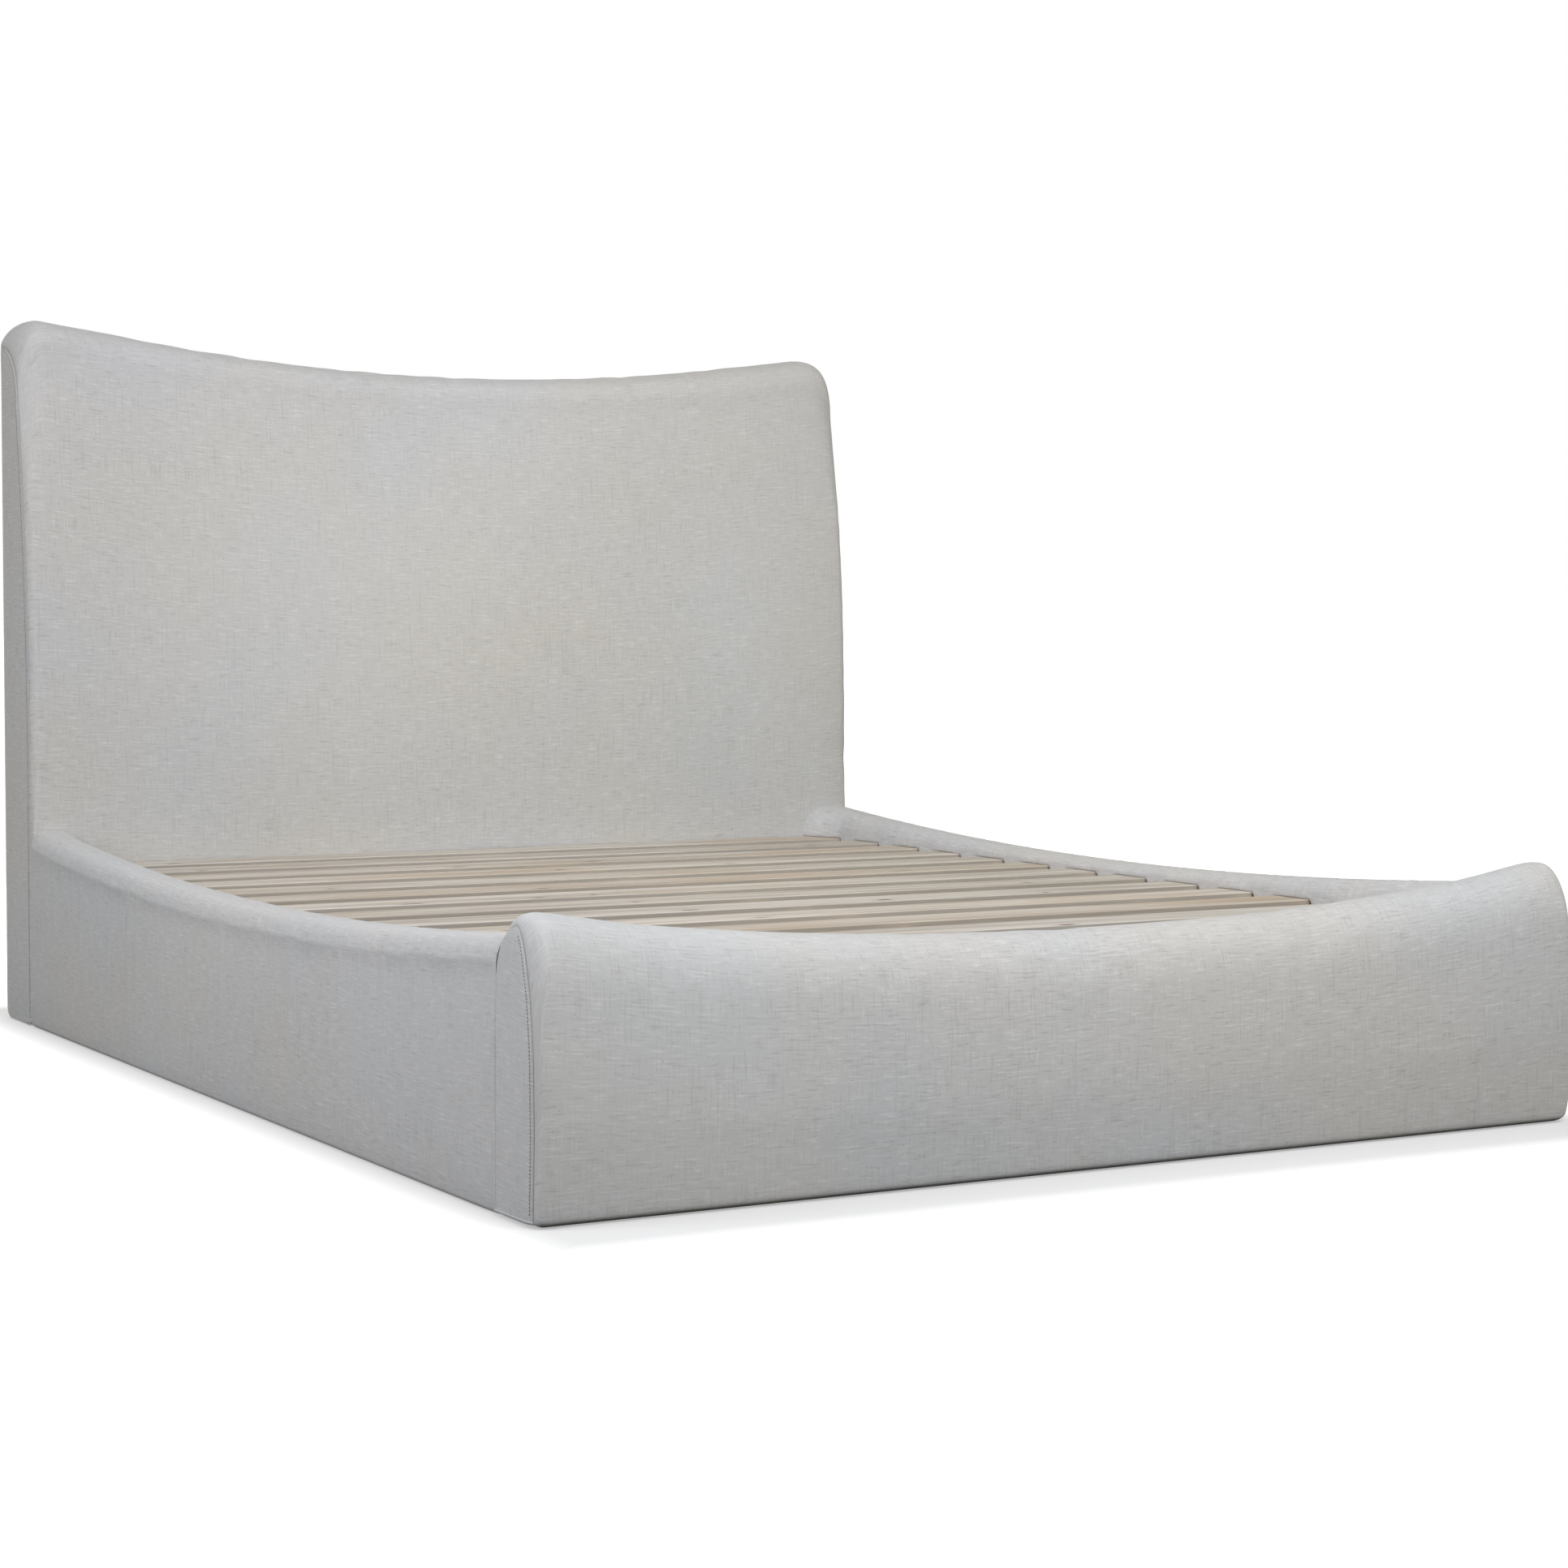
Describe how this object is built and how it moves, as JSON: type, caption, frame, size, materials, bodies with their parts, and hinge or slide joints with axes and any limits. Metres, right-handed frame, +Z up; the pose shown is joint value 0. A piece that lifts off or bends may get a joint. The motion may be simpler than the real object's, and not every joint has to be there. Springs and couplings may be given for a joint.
{
  "type": "sleigh bed",
  "caption": "Upholstered queen sleigh bed: tall scooped headboard, low scooped footboard, padded side rails and a deck of bare wood slats on a centre beam.",
  "frame": {"origin": "on the floor, under the middle of the whole bed", "axes": "+Z up, +Y towards the headboard, +X to the right as seen from the foot"},
  "size_m": [1.788, 2.372, 1.3316],
  "materials": {
    "upholstery": "matte linen weave, pale grey",
    "foam": "open-cell foam",
    "plywood": "raw plywood",
    "frame_timber": "raw pine",
    "slat_timber": "raw poplar, planed",
    "plated_steel": "zinc plated",
    "painted_steel": "satin black powder coat",
    "pad_plastic": "matte black nylon"
  },
  "bodies": {
    "bed": {"headboard_front_cover": "upholstery", "headboard_left_facing": "upholstery", "headboard_right_facing": "upholstery", "headboard_back_cover": "upholstery", "footboard_cover": "upholstery", "footboard_left_facing": "upholstery", "footboard_right_facing": "upholstery", "left_rail_cover": "upholstery", "right_rail_cover": "upholstery", "headboard_foam": "foam", "footboard_foam": "foam", "left_rail_foam": "foam", "right_rail_foam": "foam", "headboard_front_panel": "plywood", "footboard_front_panel": "plywood", "headboard_left_post": "frame_timber", "headboard_right_post": "frame_timber", "headboard_top_rail": "frame_timber", "headboard_middle_rail": "frame_timber", "headboard_bottom_rail": "frame_timber", "footboard_left_post": "frame_timber", "footboard_right_post": "frame_timber", "footboard_top_rail": "frame_timber", "footboard_bottom_rail": "frame_timber", "left_rail_board": "frame_timber", "right_rail_board": "frame_timber", "left_slat_ledger": "frame_timber", "right_slat_ledger": "frame_timber", "centre_beam": "frame_timber", "foot_leg": "frame_timber", "head_leg": "frame_timber", "slat_01": "slat_timber", "slat_02": "slat_timber", "slat_03": "slat_timber", "slat_04": "slat_timber", "slat_05": "slat_timber", "slat_06": "slat_timber", "slat_07": "slat_timber", "slat_08": "slat_timber", "slat_09": "slat_timber", "slat_10": "slat_timber", "slat_11": "slat_timber", "slat_12": "slat_timber", "slat_13": "slat_timber", "slat_screws": "plated_steel", "bracket_bolts": "plated_steel", "foot_leg_insert": "plated_steel", "head_leg_insert": "plated_steel", "rail_bracket_head_left": "painted_steel", "rail_bracket_head_right": "painted_steel", "rail_bracket_foot_left": "painted_steel", "rail_bracket_foot_right": "painted_steel", "centre_beam_foot_hanger": "painted_steel", "centre_beam_head_hanger": "painted_steel", "floor_glides": "pad_plastic"},
    "foot_pad": {"foot_leveller_pad": "pad_plastic"},
    "foot_stud": {"foot_leveller_stud": "plated_steel"},
    "head_pad": {"head_leveller_pad": "pad_plastic"},
    "head_stud": {"head_leveller_stud": "plated_steel"}
  },
  "joints": [
    {"name": "foot_pad_slide", "type": "slide", "parent": "bed", "child": "foot_pad", "axis": [0, 0, -1], "range_m": [0, 0.015]},
    {"name": "foot_stud_spin", "type": "hinge", "parent": "foot_pad", "child": "foot_stud", "pos_m": [0, -0.45, 0.03], "axis": [0, 0, -1], "range_deg": [0, 4320]},
    {"name": "head_pad_slide", "type": "slide", "parent": "bed", "child": "head_pad", "axis": [0, 0, -1], "range_m": [0, 0.015]},
    {"name": "head_stud_spin", "type": "hinge", "parent": "head_pad", "child": "head_stud", "pos_m": [0, 0.45, 0.03], "axis": [0, 0, -1], "range_deg": [0, 4320]}
  ],
  "couplings": [
    {"joint": "foot_pad_slide", "follows": "foot_stud_spin", "m_per_rad": 0.00019894},
    {"joint": "head_pad_slide", "follows": "head_stud_spin", "m_per_rad": 0.00019894}
  ]
}
